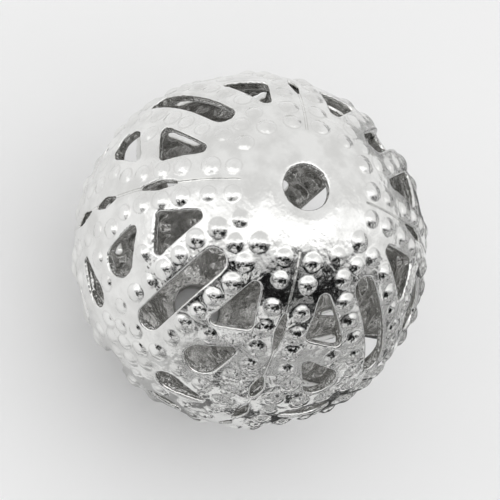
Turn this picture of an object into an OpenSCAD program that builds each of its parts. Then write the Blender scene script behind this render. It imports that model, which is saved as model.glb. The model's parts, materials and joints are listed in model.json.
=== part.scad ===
// Round filigree bead: one stamped and pierced blank of thin plated brass, rolled shut into a hollow ball.
// Four gores hang together round the upper hole and butt along meridian seams. A round tab on one of them
// carries the lower hole, and the tips of the others stop at its rim. Small raised dots stand in rows
// round the openings.
// +Z runs along the thread hole, and z = 0 is the flat of the lower tab.

/* [Ball] */
// Diameter of the ball, without its raised dots
bead_d = 10; // [9:0.5:12]
// Height over the two flat poles, as a share of the diameter
flat_share = 0.98; // [0.976:0.001:0.984]
// Thickness of the sheet
sheet = 0.3; // [0.2:0.02:0.4]
// Diameter of the thread hole
hole_d = 1.35; // [1:0.05:1.5]

/* [Seams] */
// Angle from the upper pole at which the seams begin, in degrees
seam_from = 22; // [20:1:24]
// Diameter of the round tab at the lower pole
tab_d = 2.9; // [2.4:0.1:3.4]
// Width of the line that is left where two edges meet
seam_w = 0.12; // [0.08:0.01:0.16]

/* [Cut-outs] */
// Length of the long slot down the middle of each half gore
slot_l = 3.4; // [2.8:0.1:3.6]
// Width of the long slot
slot_w = 0.7; // [0.5:0.05:0.8]
// Length of the slanted teardrop beside it
tear_l = 1.6; // [1.3:0.1:1.8]
// Length of the leaf that lies along the equator
leaf_l = 1.5; // [1.2:0.1:1.7]
// Radius of the triangle's corners
corner_r = 0.16; // [0.1:0.02:0.22]

/* [Raised dots] */
// Radius of the ball that each dot is the cap of
dot_r = 0.36; // [0.32:0.02:0.4]
// Height of a dot over the sheet
dot_rise = 0.09; // [0.06:0.01:0.12]

/* [Hidden] */
$fn = 64;

gores = 4;
gore_turn = 360 / gores;
front = -90;
ball_r = bead_d / 2;
inner_r = ball_r - sheet;
bead_h = bead_d * flat_share;
core_r = ball_r / 2;
past_r = ball_r + sheet;
tab_angle = asin(tab_d / bead_d);
tab_gore = 1;
// How far, in degrees, the line round a tab is cut past the seams at its two ends.
tab_line_past = 6;
// Straight steps in the arc at each corner of a triangle.
ARC_STEPS = 5;

// Columns of the tables below. POLAR is the angle from the pole and TURN the angle from the gore's middle,
// or from the seam. SPIN turns the fat end from straight down the gore towards its side.
POLAR = 0;
TURN = 1;
SPIN = 2;
LENGTH = 3;
FAT_R = 4;
THIN_R = 5;

// The tapered cut-outs of one half gore: the long slot and the two teardrops.
HALF_GORE = [
    [56, 0, 0, slot_l, slot_w / 2, slot_w / 2],
    [68, -25, 36, tear_l, 0.5, 0.14],
    [68, 25, -36, tear_l, 0.5, 0.14]
];

// The leaves that lie along the equator.
EQUATOR = [
    [90, -23, 90, leaf_l, 0.42, 0.14],
    [90, 23, -90, leaf_l, 0.42, 0.14]
];

// The corners of the triangle near the pole, as POLAR and TURN.
TRIANGLE = [[38, 25], [50, 30.5], [54, 18.5]];

// The openings left along one seam, as POLAR, length and widest width.
GAP_LENGTH = 1;
GAP_WIDTH = 2;
SEAM_GAPS = [
    [50, 1.2, 0.28],
    [74, 1, 0.34],
    [90, 1.2, 0.34],
    [106, 1, 0.34],
    [130, 1.2, 0.28]
];

// The raised dots of a quarter of a gore, as POLAR and TURN: a row down the slot, a row down the seam, and
// three between the other openings.
DOTS = [
    [25, 11.3], [33, 13], [41, 14.2], [48.3, 12], [55.6, 10.8], [63, 10], [70.5, 9.8], [79.5, 9.6], [85.3, 4.7],
    [25, 33.7], [32.5, 36], [42, 37.5], [49.5, 38], [57, 38.2], [64.3, 38], [71.3, 34.5], [78.3, 36.8],
    [85.5, 36.6],
    [60.5, 20], [81, 18.8], [81, 27.8]
];

// The dots on a gore's middle line at both ends of the slot, and those along its equator.
SLOT_END_DOTS = [[31, 0], [80.5, 0]];
EQUATOR_DOTS = [[90, 0], [90, 9.4], [90, -9.4]];

// A distance along the ball's surface, from an angle at its centre.
function arc_mm(angle) = angle * PI / 180 * ball_r;

// Puts its child at a place on the ball, its X pointing away from the pole, its Y round the ball, its Z out.
module on_ball(polar, turn, spin = 0) {
    rotate([0, polar, turn]) rotate([0, 0, spin]) translate([0, 0, core_r])
        linear_extrude(past_r - core_r) children();
}

// An outline with two round ends, the fat one at +X.
module taper(length, fat_r, thin_r) {
    thin_x = thin_r - length / 2;
    fat_x = length / 2 - fat_r;
    lean = acos((fat_r - thin_r) / (fat_x - thin_x));
    translate([thin_x, 0]) circle(thin_r);
    translate([fat_x, 0]) circle(fat_r);
    polygon([
        [thin_x - thin_r * cos(lean), thin_r * sin(lean)],
        [fat_x - fat_r * cos(lean), fat_r * sin(lean)],
        [fat_x - fat_r * cos(lean), -fat_r * sin(lean)],
        [thin_x - thin_r * cos(lean), -thin_r * sin(lean)]
    ]);
}

// A convex polygon, given anticlockwise, whose corners are the middles of arcs.
module rounded(corners, r) {
    count = len(corners);
    function heading(i) = let (side = corners[(i + 1) % count] - corners[i % count]) atan2(side.y, side.x);
    polygon([for (i = [0:count - 1]) let (
        from = heading(i + count - 1) - 90,
        bend = (heading(i) - heading(i + count - 1) + 720) % 360
    ) for (step = [0:ARC_STEPS]) let (angle = from + bend * step / ARC_STEPS)
        corners[i] + r * [cos(angle), sin(angle)]
    ]);
}

// The triangle on one side of a gore, laid flat round its own middle.
module triangle_cut(side) {
    middle = (TRIANGLE[0] + TRIANGLE[1] + TRIANGLE[2]) / 3;
    flat = [for (corner = TRIANGLE) [
        arc_mm(corner[POLAR] - middle[POLAR]),
        arc_mm(corner[TURN] - middle[TURN]) * sin(corner[POLAR])
    ]];
    on_ball(middle[POLAR], middle[TURN] * side) mirror([0, side < 0 ? 1 : 0])
        rounded([flat[0], flat[2], flat[1]], corner_r);
}

module tapers(table) {
    for (cut = table) on_ball(cut[POLAR], cut[TURN], cut[SPIN]) taper(cut[LENGTH], cut[FAT_R], cut[THIN_R]);
}

// All that is cut through one gore.
module gore_cuts() {
    tapers(EQUATOR);
    for (half = [0, 1]) mirror([0, 0, half]) {
        tapers(HALF_GORE);
        for (side = [-1, 1]) triangle_cut(side);
    }
}

// The opened stretches of one seam, where the edges of two gores spring apart.
module seam_gaps() {
    for (gap = SEAM_GAPS) on_ball(gap[POLAR], 0) {
        reach = gap[GAP_LENGTH] / 2;
        swell = gap[GAP_WIDTH] / 2;
        polygon([[-reach, 0], [0, -swell], [reach, 0], [0, swell]]);
    }
}

// The hairline of one seam, from the rim of the tab up to where the gores hang together.
module seam_line() {
    rotate([90, 0, 0]) rotate([0, 0, tab_angle - 90])
        rotate_extrude(angle = 180 - tab_angle - seam_from) translate([ball_r, 0]) circle(d = seam_w);
}

// The rim of the tab, seen where the tips of three gores butt against it.
module tab_line() {
    translate([0, 0, -ball_r * cos(tab_angle)]) rotate([0, 0, gore_turn / 2 - tab_line_past])
        rotate_extrude(angle = 360 - gore_turn + 2 * tab_line_past)
            translate([tab_d / 2, 0]) circle(d = seam_w);
}

module dots(table) {
    for (dot = table) rotate([0, dot[POLAR], dot[TURN]]) translate([0, 0, ball_r + dot_rise - dot_r]) sphere(dot_r);
}

// The raised dots of one gore.
module gore_dots() {
    dots(EQUATOR_DOTS);
    for (half = [0, 1]) mirror([0, 0, half]) {
        dots(SLOT_END_DOTS);
        for (side = [0, 1]) mirror([0, side, 0]) dots(DOTS);
    }
}

// The sheet as a dotted ball, flat at both poles.
module hollow_ball() {
    difference() {
        union() {
            intersection() {
                sphere(ball_r);
                cube([2 * bead_d, 2 * bead_d, bead_h], center = true);
            }
            for (gore = [0:gores - 1]) rotate([0, 0, front + gore * gore_turn]) gore_dots();
        }
        intersection() {
            sphere(inner_r);
            cube([2 * bead_d, 2 * bead_d, bead_h - 2 * sheet], center = true);
        }
    }
}

// The whole bead: pierced sheet, seams and thread hole.
module shell() color("silver") translate([0, 0, bead_h / 2]) difference() {
    hollow_ball();
    cylinder(h = 2 * bead_d, d = hole_d, center = true);
    for (gore = [0:gores - 1]) rotate([0, 0, front + gore * gore_turn]) {
        gore_cuts();
        rotate([0, 0, gore_turn / 2]) {
            seam_gaps();
            seam_line();
        }
    }
    rotate([0, 0, front + tab_gore * gore_turn]) tab_line();
}

shell();
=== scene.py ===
import json
import math
import random

import bpy
from mathutils import Matrix, Vector

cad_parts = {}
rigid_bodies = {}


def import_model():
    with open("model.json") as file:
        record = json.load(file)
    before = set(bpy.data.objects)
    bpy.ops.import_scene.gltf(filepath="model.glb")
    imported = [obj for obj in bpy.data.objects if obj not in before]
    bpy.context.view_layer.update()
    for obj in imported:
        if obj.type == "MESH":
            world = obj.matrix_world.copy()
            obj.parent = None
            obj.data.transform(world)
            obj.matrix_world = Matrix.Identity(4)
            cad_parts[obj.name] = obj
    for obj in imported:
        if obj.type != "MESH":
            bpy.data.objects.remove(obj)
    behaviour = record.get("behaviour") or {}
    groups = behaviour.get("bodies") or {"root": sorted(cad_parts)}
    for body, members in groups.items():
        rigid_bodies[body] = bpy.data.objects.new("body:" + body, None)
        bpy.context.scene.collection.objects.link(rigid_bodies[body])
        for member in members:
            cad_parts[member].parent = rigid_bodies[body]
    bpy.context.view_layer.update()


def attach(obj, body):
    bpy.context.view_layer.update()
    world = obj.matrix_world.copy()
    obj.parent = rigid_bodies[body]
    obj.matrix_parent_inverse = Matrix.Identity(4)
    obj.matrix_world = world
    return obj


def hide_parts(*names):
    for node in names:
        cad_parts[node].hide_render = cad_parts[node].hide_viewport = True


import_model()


# The wall of the bead: 0.3 mm brass sheet pressed into a hollow ball, with a small flat at both poles.
# It is worked in millimetres round the bead's own middle, and put down at its real size at the end.
BEAD_D = 10.0
BEAD_H = 9.8
SHEET = 0.3
BALL_R = BEAD_D / 2


def only(*pieces):
    bpy.ops.object.select_all(action="DESELECT")
    for piece in pieces:
        piece.select_set(True)
    bpy.context.view_layer.objects.active = pieces[0]


def edit(piece):
    only(piece)
    bpy.ops.object.mode_set(mode="EDIT")
    bpy.ops.mesh.select_all(action="SELECT")


def leave_edit():
    bpy.ops.object.mode_set(mode="OBJECT")


def saw_off(piece, point, outwards):
    """Everything past a plane goes, and the cut is closed."""
    edit(piece)
    bpy.ops.mesh.bisect(plane_co=point, plane_no=outwards, clear_outer=True, use_fill=True)
    leave_edit()


def pressed_ball(name, radius, height):
    bpy.ops.object.select_all(action="DESELECT")
    bpy.ops.mesh.primitive_uv_sphere_add(segments=256, ring_count=128, radius=radius)
    piece = bpy.context.object
    piece.name = name
    for end in (-1, 1):
        saw_off(piece, (0, 0, end * height / 2), (0, 0, end))
    return piece


wall = pressed_ball("wall", BALL_R, BEAD_H)
hollow = pressed_ball("hollow", BALL_R - SHEET, BEAD_H - 2 * SHEET)
edit(hollow)
bpy.ops.mesh.flip_normals()
leave_edit()
only(wall, hollow)
bpy.ops.object.join()


# The openings, which a press punches through the flat blank in one stroke: a slot down each half gore, a
# rounded triangle and a slanted teardrop on both sides of it, and leaves along the equator. A place is in
# degrees: down from the pole, round from the middle of the gore, and the spin of the punch.
GORES = 4
GORE_TURN = 90.0
FRONT = -90.0
PUNCH_FROM, PUNCH_TO = 2.4, 5.6
SLOT_AT = (56, 0)
TEARDROP_AT = (68, 25, -36)
LEAF_AT = (90, 23, -90)
TRIANGLE = ((38, 25), (50, 30.5), (54, 18.5))
TRIANGLE_CORNER_R = 0.16
HERE = Matrix.Identity(4)
MIRROR_SIDE = Matrix.Scale(-1, 4, (0, 1, 0))
MIRROR_ENDS = Matrix.Scale(-1, 4, (0, 0, 1))


def turned(degrees, axis="Z"):
    return Matrix.Rotation(math.radians(degrees), 4, axis)


def on_ball(polar, turn, spin=0.0):
    return turned(turn) @ turned(polar, "Y") @ turned(spin)


def arc(angle):
    return math.radians(angle) * BALL_R


def punch(name, posts, sides=28):
    """A punch is the skin drawn round a few upright rods, each given by its place and radius."""
    bpy.ops.object.select_all(action="DESELECT")
    for number, (x, y, radius) in enumerate(posts):
        bpy.ops.mesh.primitive_cylinder_add(
            vertices=sides,
            radius=radius,
            depth=PUNCH_TO - PUNCH_FROM,
            location=(x, y, (PUNCH_FROM + PUNCH_TO) / 2),
        )
        if number == 0:
            piece = bpy.context.object
            piece.name = name
            bpy.ops.object.transform_apply(location=True)
            bpy.ops.object.mode_set(mode="EDIT")
    bpy.ops.mesh.select_all(action="SELECT")
    bpy.ops.mesh.convex_hull()
    leave_edit()
    return piece


def taper(name, length, fat_r, thin_r):
    return punch(name, [(length / 2 - fat_r, 0, fat_r), (thin_r - length / 2, 0, thin_r)])


def struck(tool, place):
    """A copy of a tool with its own mesh, moved to its place."""
    copy = tool.copy()
    copy.data = tool.data.copy()
    copy.data.transform(place)
    if place.determinant() < 0:
        copy.data.flip_normals()
    bpy.context.scene.collection.objects.link(copy)
    return copy


def joined(pieces):
    only(*pieces)
    bpy.ops.object.join()
    return pieces[0]


slot = taper("slot", length=3.4, fat_r=0.35, thin_r=0.35)
teardrop = taper("teardrop", length=1.6, fat_r=0.5, thin_r=0.14)
leaf = taper("leaf", length=1.5, fat_r=0.42, thin_r=0.14)
tri_polar = sum(polar for polar, turn in TRIANGLE) / 3
tri_turn = sum(turn for polar, turn in TRIANGLE) / 3
corners = []
for polar, turn in TRIANGLE:
    x = arc(polar - tri_polar)
    y = arc(turn - tri_turn) * math.sin(math.radians(polar))
    corners.append((x, y, TRIANGLE_CORNER_R))
triangle = punch("triangle", corners)

gore_cuts = [(leaf, on_ball(*LEAF_AT)), (leaf, MIRROR_SIDE @ on_ball(*LEAF_AT))]
for end in (HERE, MIRROR_ENDS):
    gore_cuts.append((slot, end @ on_ball(*SLOT_AT)))
    for side in (HERE, MIRROR_SIDE):
        gore_cuts.append((teardrop, end @ side @ on_ball(*TEARDROP_AT)))
        gore_cuts.append((triangle, end @ side @ on_ball(tri_polar, tri_turn)))


# The short pointed gaps along the seams, where the edges of neighbouring gores spring apart when the blank
# is rolled shut, and the thread hole through both poles. A gap has its place, length and width.
SEAM_GAPS = ((50, 1.2, 0.28), (74, 1.0, 0.34), (90, 1.2, 0.34), (106, 1.0, 0.34), (130, 1.2, 0.28))
GAP_TIP_R = 0.04
HOLE_D = 1.35

for polar, length, width in SEAM_GAPS:
    tip_x = length / 2 - GAP_TIP_R
    gap = punch("seam_gap", [(-tip_x, 0, GAP_TIP_R), (0, 0, width / 2), (tip_x, 0, GAP_TIP_R)], sides=16)
    gore_cuts.append((gap, on_ball(polar, GORE_TURN / 2)))

bpy.ops.object.select_all(action="DESELECT")
bpy.ops.mesh.primitive_cylinder_add(vertices=64, radius=HOLE_D / 2, depth=2 * BEAD_D)
press = [bpy.context.object]
for gore in range(GORES):
    facing = turned(FRONT + gore * GORE_TURN)
    press += [struck(tool, facing @ place) for tool, place in gore_cuts]
press = joined(press)


def carve(piece, tool, operation="DIFFERENCE"):
    cut = piece.modifiers.new("carve", "BOOLEAN")
    cut.operation = operation
    cut.solver = "MANIFOLD"
    cut.object = tool
    only(piece)
    bpy.ops.object.modifier_apply(modifier=cut.name)


def thrown_away(tools):
    for tool in tools:
        bpy.data.objects.remove(tool)


carve(wall, press)
punches = {tool.name: tool for tool, place in gore_cuts}
thrown_away([press, *punches.values()])


# The raised dots, small pips that the die leaves in rows beside the openings, each with its dimple inside
# the ball. The rows give a quarter of a gore and the rest mirrors it, as the die does. A worn die strikes
# them a little unevenly.
SLOT_ROW = (
    (25, 11.3), (33, 13), (41, 14.2), (48.3, 12), (55.6, 10.8),
    (63, 10), (70.5, 9.8), (79.5, 9.6), (85.3, 4.7),
)
SEAM_ROW = (
    (25, 33.7), (32.5, 36), (42, 37.5), (49.5, 38), (57, 38.2),
    (64.3, 38), (71.3, 34.5), (78.3, 36.8), (85.5, 36.6),
)
LONE_DOTS = ((60.5, 20), (81, 18.8), (81, 27.8))
SLOT_END_DOTS = ((31, 0), (80.5, 0))
EQUATOR_DOTS = ((90, 0), (90, 9.4), (90, -9.4))
DOT_ROUNDING = 0.43
DOT_RISE = 0.095
DOT_ROOT = 0.04
UNEVEN = 0.02

bpy.ops.object.select_all(action="DESELECT")
bpy.ops.mesh.primitive_uv_sphere_add(segments=32, ring_count=24, radius=DOT_ROUNDING)
dot = bpy.context.object
dot.data.transform(Matrix.Translation((0, 0, BALL_R + DOT_RISE - DOT_ROUNDING)))
saw_off(dot, (0, 0, BALL_R - DOT_ROOT), (0, 0, -1))
dot_places = [on_ball(*place) for place in EQUATOR_DOTS]
for end in (HERE, MIRROR_ENDS):
    dot_places += [end @ on_ball(*place) for place in SLOT_END_DOTS]
    for side in (HERE, MIRROR_SIDE):
        dot_places += [end @ side @ on_ball(*place) for place in SLOT_ROW + SEAM_ROW + LONE_DOTS]
die = random.Random(4)
pips = []
dimples = []
for gore in range(GORES):
    facing = turned(FRONT + gore * GORE_TURN)
    for place in dot_places:
        off = Matrix.Translation([die.uniform(-UNEVEN, UNEVEN) for axis in range(3)])
        pips.append(struck(dot, facing @ place @ off))
        dimples.append(struck(dot, facing @ place @ off @ Matrix.Translation((0, 0, -SHEET))))
dimples = joined(dimples)
carve(wall, dimples)
joined([wall] + pips)
thrown_away([dot, dimples])


# Pressing and plating leave one soft skin: the punched edges are eased, the pips run into the sheet, and
# the sheet between them stays true to the ball. The mesh is a little coarser on the inside of the ball.
VOXEL = 0.042
EASE_STEPS = 13
TRUE_WITHIN = 0.016
TRUE_FADE = 0.013
FLAT_MARGIN = 0.03
LINING_DEPTH = 0.08
LINING_KEPT = 0.74

only(wall)
skin = wall.modifiers.new("skin", "REMESH")
skin.mode = "VOXEL"
skin.voxel_size = VOXEL
bpy.ops.object.modifier_apply(modifier=skin.name)
ease = wall.modifiers.new("ease", "SMOOTH")
ease.factor = 0.5
ease.iterations = EASE_STEPS
bpy.ops.object.modifier_apply(modifier=ease.name)
sheet = wall.vertex_groups.new(name="sheet")
lining = wall.vertex_groups.new(name="lining")
for vertex in wall.data.vertices:
    off = abs(vertex.co.length - BALL_R)
    if off < TRUE_WITHIN and abs(vertex.co.z) < BEAD_H / 2 - FLAT_MARGIN:
        sheet.add([vertex.index], min(1.0, (TRUE_WITHIN - off) / TRUE_FADE), "REPLACE")
    elif vertex.co.length < BALL_R - SHEET + LINING_DEPTH:
        lining.add([vertex.index], 1.0, "REPLACE")
wall.vertex_groups.active_index = sheet.index
edit(wall)
bpy.ops.object.vertex_group_smooth(factor=0.5, repeat=4)
leave_edit()
true = wall.modifiers.new("true", "CAST")
true.cast_type = "SPHERE"
true.factor = 1
true.use_radius_as_size = False
true.radius = 0
true.size = BALL_R
true.vertex_group = sheet.name
bpy.ops.object.modifier_apply(modifier=true.name)
thin = wall.modifiers.new("thin", "DECIMATE")
thin.ratio = LINING_KEPT
thin.vertex_group = lining.name
bpy.ops.object.modifier_apply(modifier=thin.name)


# The four gores. They hang together round the upper hole, and from there down their edges butt along
# hairlines that the plating has half filled. The second gore ends in the round tab of the lower hole.
SEAM_FROM = 22.0
SEAM_W = 0.09
TAB_D = 2.9
TAB_GORE = 1
TAB_CUT_H = 1.6
TAB_SIDES = 96
WEDGE_REACH = 7
MELTED_UNDER = 0.0008
SMOOTH_UNDER = 50
tab_angle = math.asin(TAB_D / BEAD_D)
tab_z = -BALL_R * math.cos(tab_angle)


def line_round(major_r, place, steps):
    bpy.ops.object.select_all(action="DESELECT")
    bpy.ops.mesh.primitive_torus_add(
        major_segments=steps, minor_segments=12, major_radius=major_r, minor_radius=SEAM_W / 2
    )
    piece = bpy.context.object
    piece.data.transform(place)
    return piece


def gore_wedge(gore):
    bpy.ops.object.select_all(action="DESELECT")
    bpy.ops.mesh.primitive_cube_add(
        size=1,
        location=(WEDGE_REACH / 2, WEDGE_REACH / 2, 0),
        scale=(WEDGE_REACH, WEDGE_REACH, 2 * WEDGE_REACH),
    )
    piece = bpy.context.object
    bpy.ops.object.transform_apply()
    piece.data.transform(turned(FRONT + gore * GORE_TURN - GORE_TURN / 2))
    return piece


def swept(piece):
    """The slivers that a cut leaves are melted in, and the crumbs that hang on nothing go."""
    edit(piece)
    bpy.ops.mesh.remove_doubles(threshold=MELTED_UNDER)
    bpy.ops.mesh.select_all(action="DESELECT")
    leave_edit()
    max(piece.data.vertices, key=lambda vertex: vertex.co.z).select = True
    bpy.ops.object.mode_set(mode="EDIT")
    bpy.ops.mesh.select_linked()
    bpy.ops.mesh.select_all(action="INVERT")
    bpy.ops.mesh.delete(type="VERT")
    leave_edit()


lines = []
for turn in (GORE_TURN / 2, -GORE_TURN / 2):
    seam = line_round(BALL_R, turned(turn) @ turned(90, "X"), 256)
    saw_off(seam, (0, 0, BALL_R * math.cos(math.radians(SEAM_FROM))), (0, 0, 1))
    saw_off(seam, (0, 0, tab_z), (0, 0, -1))
    lines.append(seam)
rim = line_round(TAB_D / 2, Matrix.Translation((0, 0, tab_z)), TAB_SIDES)
wedge = gore_wedge(TAB_GORE)
carve(rim, wedge)
lines.append(rim)
for line in lines:
    carve(wall, line)
thrown_away([wedge] + lines)

gores = []
for gore in range(GORES):
    wedge = gore_wedge(gore)
    bpy.ops.mesh.primitive_cylinder_add(
        vertices=TAB_SIDES, radius=TAB_D / 2, depth=TAB_CUT_H, location=(0, 0, -BALL_R)
    )
    tab = bpy.context.object
    bpy.ops.object.transform_apply()
    carve(wedge, tab, "UNION" if gore == TAB_GORE else "DIFFERENCE")
    piece = struck(wall, HERE)
    piece.name = f"gore_{gore + 1}"
    carve(piece, wedge, "INTERSECT")
    swept(piece)
    piece.vertex_groups.clear()
    thrown_away([wedge, tab])
    bpy.ops.object.shade_smooth_by_angle(angle=math.radians(SMOOTH_UNDER))
    gores.append(piece)
thrown_away([wall])


# The finish: bright silver plate over brass. Outside it is polished, with a faint ripple and some wear, and
# dull where polish can't reach, at the foot of the dots; there tarnish and painted shade darken the colour.
# Inside the ball the plate is thinner and duller, and its colour is darkened further as painted shade.
MM = 0.001
MICRON = 0.000001
INSIDE_R = (4.73, 4.85)
FOOT_R = ((5.002, 5.008), (5.012, 5.04))
BRIGHT_PLATE, WORN_AND_SHADED_PLATE = (0.88, 0.88, 0.865, 1), (0.5, 0.495, 0.48, 1)
SHADED_INSIDE_PLATE, SHADED_INSIDE_WORN = (0.7, 0.695, 0.68, 1), (0.45, 0.445, 0.43, 1)
FOOT_TARNISH_AND_SHADE, WORN_DULLED = 0.3, 0.36
POLISH_ROUGH = (0.04, 0.13)
FINE_ROUGH, INSIDE_ROUGH, FOOT_ROUGH = 0.05, 0.05, 0.12
WAVE_MICRONS = 16


def add(tree, kind, values=None, **settings):
    """A node with its settings and values. A value that is another node's output becomes a link."""
    made = tree.nodes.new("ShaderNode" + kind)
    for name, setting in settings.items():
        setattr(made, name, setting)
    for socket, value in (values or {}).items():
        if isinstance(value, bpy.types.NodeSocket):
            tree.links.new(value, made.inputs[socket])
        else:
            made.inputs[socket].default_value = value
    return made


def maths(tree, operation, *values):
    return add(tree, "Math", dict(enumerate(values)), operation=operation).outputs[0]


def plus(tree, first, second):
    return maths(tree, "ADD", first, second)


def times(tree, first, *others):
    for other in others:
        first = maths(tree, "MULTIPLY", first, other)
    return first


def ramp(tree, value, start, end, low=0.0, high=1.0):
    numbers = {"Value": value, "From Min": start, "From Max": end, "To Min": low, "To Max": high}
    return add(tree, "MapRange", numbers, interpolation_type="SMOOTHSTEP").outputs[0]


def fall(tree, value, start, end):
    return ramp(tree, value, start, end, 1, 0)


def band(tree, value, lower_edge, upper_edge):
    """Full between two soft edges and nothing outside them."""
    return times(tree, ramp(tree, value, *lower_edge), fall(tree, value, *upper_edge))


def blend(tree, share, first, second):
    mixed = add(tree, "Mix", {"Factor": share}, data_type="RGBA")
    for name, colour in (("A", first), ("B", second)):
        socket = next(s for s in mixed.inputs if s.name == name and s.type == "RGBA")
        if isinstance(colour, bpy.types.NodeSocket):
            tree.links.new(colour, socket)
        else:
            socket.default_value = colour
    return next(s for s in mixed.outputs if s.type == "RGBA")


cloud = bpy.data.node_groups.new("cloud", "ShaderNodeTree")
cloud.interface.new_socket("Place", in_out="INPUT", socket_type="NodeSocketVector")
for name in ("Scale", "Low", "High"):
    cloud.interface.new_socket(name, in_out="INPUT", socket_type="NodeSocketFloat")
cloud.interface.new_socket("Value", in_out="OUTPUT", socket_type="NodeSocketFloat")
fed = cloud.nodes.new("NodeGroupInput").outputs
given = cloud.nodes.new("NodeGroupOutput").inputs
noise = add(cloud, "TexNoise", {
    "Vector": fed["Place"],
    "Scale": fed["Scale"],
    "Detail": 3.0,
    "Roughness": 0.55,
}).outputs[0]
levels = ramp(cloud, noise, start=0.32, end=0.68, low=fed["Low"], high=fed["High"])
cloud.links.new(levels, given["Value"])


def clouds(tree, place, scale, low=0.0, high=1.0):
    made = tree.nodes.new("ShaderNodeGroup")
    made.node_tree = cloud
    tree.links.new(place, made.inputs["Place"])
    for name, value in (("Scale", scale), ("Low", low), ("High", high)):
        made.inputs[name].default_value = value
    return made.outputs["Value"]


plating = bpy.data.materials.new("silver_plate")
plating.use_nodes = True
tree = plating.node_tree
shader = tree.nodes["Principled BSDF"]
shader.inputs["Metallic"].default_value = 1
bead_mm = add(tree, "Mapping", {
    "Vector": add(tree, "TexCoord").outputs["Object"],
    "Location": (0, 0, -BEAD_H / 2),
    "Scale": (1 / MM, 1 / MM, 1 / MM),
}).outputs[0]
radius = add(tree, "VectorMath", {0: bead_mm}, operation="LENGTH").outputs["Value"]
inside = fall(tree, radius, *INSIDE_R)
foot = band(tree, radius, *FOOT_R)
worn = clouds(tree, bead_mm, scale=1.5)
fine = clouds(tree, bead_mm, scale=11)
# Tarnish and painted shade darken the foot of the dots; the worn share is wear.
wear_tarnish_and_shade = maths(tree, "MAXIMUM", times(tree, foot, FOOT_TARNISH_AND_SHADE), times(tree, worn, WORN_DULLED))
outer = blend(tree, wear_tarnish_and_shade, BRIGHT_PLATE, WORN_AND_SHADED_PLATE)
# Besides its duller plate, the inside is darkened as painted shade of the hollow ball.
inside_plate_and_shade = blend(tree, worn, SHADED_INSIDE_PLATE, SHADED_INSIDE_WORN)
tree.links.new(blend(tree, inside, outer, inside_plate_and_shade), shader.inputs["Base Color"])
polish = plus(tree, clouds(tree, bead_mm, 1.7, *POLISH_ROUGH), times(tree, fine, FINE_ROUGH))
dull = maths(tree, "MAXIMUM", times(tree, inside, INSIDE_ROUGH), times(tree, foot, FOOT_ROUGH))
tree.links.new(plus(tree, polish, dull), shader.inputs["Roughness"])
waves = times(tree, clouds(tree, bead_mm, scale=1.3), WAVE_MICRONS)
ripple = add(tree, "Bump", {
    "Strength": 1.0,
    "Distance": MICRON,
    "Height": plus(tree, waves, fine),
}).outputs[0]
tree.links.new(ripple, shader.inputs["Normal"])

for piece in gores:
    edit(piece)
    bpy.ops.transform.resize(value=(MM, MM, MM), center_override=(0, 0, 0))
    bpy.ops.transform.translate(value=(0, 0, BEAD_H / 2 * MM))
    leave_edit()
    piece.data.materials.clear()
    piece.data.materials.append(plating)
    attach(piece, "root")
    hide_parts("shell")


# The camera stands as the photograph's does to the bead: 61 degrees up, 10 degrees to the right, and rolled
# so that the thread hole shows at the upper right. It stands well back, with a long lens.
AZIMUTH, ELEVATION, ROLL = 10, 61, 42
DISTANCE = 0.35
VIEW_W = 0.0142
SENSOR_W = 36
middle = Vector((0, 0, BEAD_H / 2 * MM))
azimuth = math.radians(AZIMUTH)
elevation = math.radians(ELEVATION)
back = Vector((
    math.sin(azimuth) * math.cos(elevation),
    -math.cos(azimuth) * math.cos(elevation),
    math.sin(elevation),
))
lens = bpy.data.cameras.new("camera")
camera = bpy.data.objects.new("camera", lens)
bpy.context.scene.collection.objects.link(camera)
camera.location = middle + back * DISTANCE
aim = (-back).to_track_quat("-Z", "Y").to_matrix().to_4x4() @ turned(ROLL)
camera.rotation_euler = aim.to_euler()
lens.sensor_width = SENSOR_W
lens.lens = SENSOR_W * DISTANCE / VIEW_W
bpy.context.scene.camera = camera
right = aim.to_3x3().col[0]
up = aim.to_3x3().col[1]


# The floor is a plain pale board with a matt paint, plain to the camera and to all that is matt. Only the
# polish of the bead sees more in it: toward the lower right of the view it mirrors dark and light patches,
# which are a painted reflection of a dark, cluttered surround, painted into the board for glossy rays only.
FLOOR_W = 0.6
PAINT_ROUGH = 0.55
PATCH_EDGE = (0.47, 0.63)
PATCHES_FROM = (-0.004, 0.006)
LOWER_RIGHT = 0.8 * right - 0.6 * up


def grey(level):
    return (level, level, level, 1)


def along(tree, place, direction):
    return add(tree, "VectorMath", {0: place, 1: direction}, operation="DOT_PRODUCT").outputs["Value"]


bpy.ops.object.select_all(action="DESELECT")
bpy.ops.mesh.primitive_plane_add(size=FLOOR_W)
floor = bpy.context.object
floor.name = "floor"
paint = bpy.data.materials.new("floor_paint")
paint.use_nodes = True
tree = paint.node_tree
shader = tree.nodes["Principled BSDF"]
shader.inputs["Roughness"].default_value = PAINT_ROUGH
board = add(tree, "TexCoord").outputs["Object"]
plain = blend(tree, clouds(tree, board, scale=40), grey(0.9), grey(0.93))
# Painted reflection: dark and light patches, seen by glossy rays alone, stand in for a cluttered surround.
patches = ramp(tree, clouds(tree, board, scale=330), *PATCH_EDGE)
painted_reflection = blend(tree, patches, grey(0.02), grey(0.95))
painted_reflection_side = ramp(tree, along(tree, board, LOWER_RIGHT), *PATCHES_FROM)
painted_reflection_share = times(tree, add(tree, "LightPath").outputs["Is Glossy Ray"], painted_reflection_side)
tree.links.new(blend(tree, painted_reflection_share, plain, painted_reflection), shader.inputs["Base Color"])
floor.data.materials.append(paint)


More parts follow.
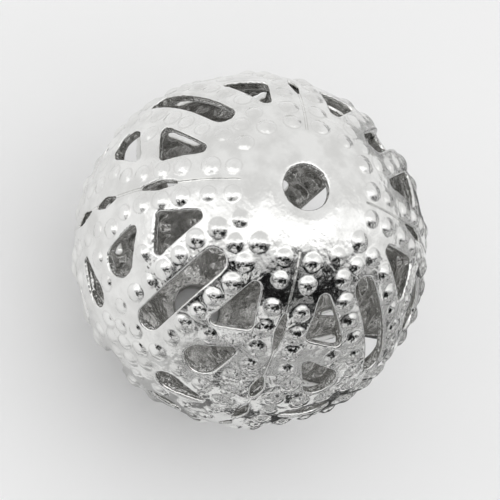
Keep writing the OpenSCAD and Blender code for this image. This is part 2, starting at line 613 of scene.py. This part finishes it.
# The light is a white tent with a softbox above, a dark opening below it where the camera looks in, and a
# dim low part, both patchy. All that is matt gets an even light instead. A place in the tent is given by
# the spot on the bead that mirrors it to the camera, across and up from the middle in radii of the ball.
TENT, SOFTBOX = 0.86, 0.6
SOFTBOX_ACROSS, SOFTBOX_UP = (0.4, 0.8), ((0, 0.07), (0.12, 0.34))
OPENING_ACROSS, OPENING_UP = (0.55, 0.68), ((-0.34, -0.27), (-0.05, 0))
OPENING_PATCHES = (0.38, 0.5)
OPENING_LIGHT = 0.01
LOW_ACROSS, LOW_UP = (-0.95, -0.55), (-0.18, -0.05)
LOW_PATCHES = (0.4, 0.58)
LOW_DIMMED = 0.97
EVEN_ACROSS, EVEN_LIGHT = (-0.5, 0.7), (0.86, 1.04)
BACKDROP = 0.87
JUST_OVER_1 = 1.0001

world = bpy.data.worlds.new("tent")
bpy.context.scene.world = world
world.use_nodes = True
tree = world.node_tree
tree.nodes.clear()
ray = add(tree, "TexCoord").outputs["Generated"]
half = maths(tree, "SQRT", times(tree, plus(tree, along(tree, ray, back), JUST_OVER_1), 2))
across = maths(tree, "DIVIDE", along(tree, ray, right), half)
across = plus(tree, across, clouds(tree, ray, scale=5, low=-0.06, high=0.06))
height = maths(tree, "DIVIDE", along(tree, ray, up), half)
height = plus(tree, height, clouds(tree, ray, scale=4, low=-0.05, high=0.05))
aside = maths(tree, "ABSOLUTE", across)
opening = times(
    tree,
    band(tree, height, *OPENING_UP),
    fall(tree, aside, *OPENING_ACROSS),
    ramp(tree, clouds(tree, ray, scale=4.3), *OPENING_PATCHES),
)
softbox = times(tree, band(tree, height, *SOFTBOX_UP), ramp(tree, aside, *SOFTBOX_ACROSS, SOFTBOX, 0))
low = times(tree, fall(tree, height, *LOW_UP), ramp(tree, across, *LOW_ACROSS))
dimmed = times(tree, low, ramp(tree, clouds(tree, ray, scale=5), *LOW_PATCHES, 0, LOW_DIMMED))
bright = times(tree, plus(tree, softbox, TENT), maths(tree, "SUBTRACT", 1.0, dimmed))
light = times(tree, bright, maths(tree, "SUBTRACT", 1 + OPENING_LIGHT, opening))
even = ramp(tree, along(tree, ray, right), *EVEN_ACROSS, *EVEN_LIGHT)
light_path = add(tree, "LightPath").outputs
strength = add(tree, "Mix", {"Factor": light_path["Is Diffuse Ray"], "A": light, "B": even}).outputs[0]
tent = add(tree, "Background", {"Color": grey(1), "Strength": strength}).outputs[0]
backdrop = add(tree, "Background", {"Color": grey(BACKDROP)}).outputs[0]
shown = add(tree, "MixShader", {0: light_path["Is Camera Ray"], 1: tent, 2: backdrop}).outputs[0]
tree.links.new(shown, add(tree, "OutputWorld").inputs["Surface"])
bpy.context.scene.view_settings.view_transform = "Standard"
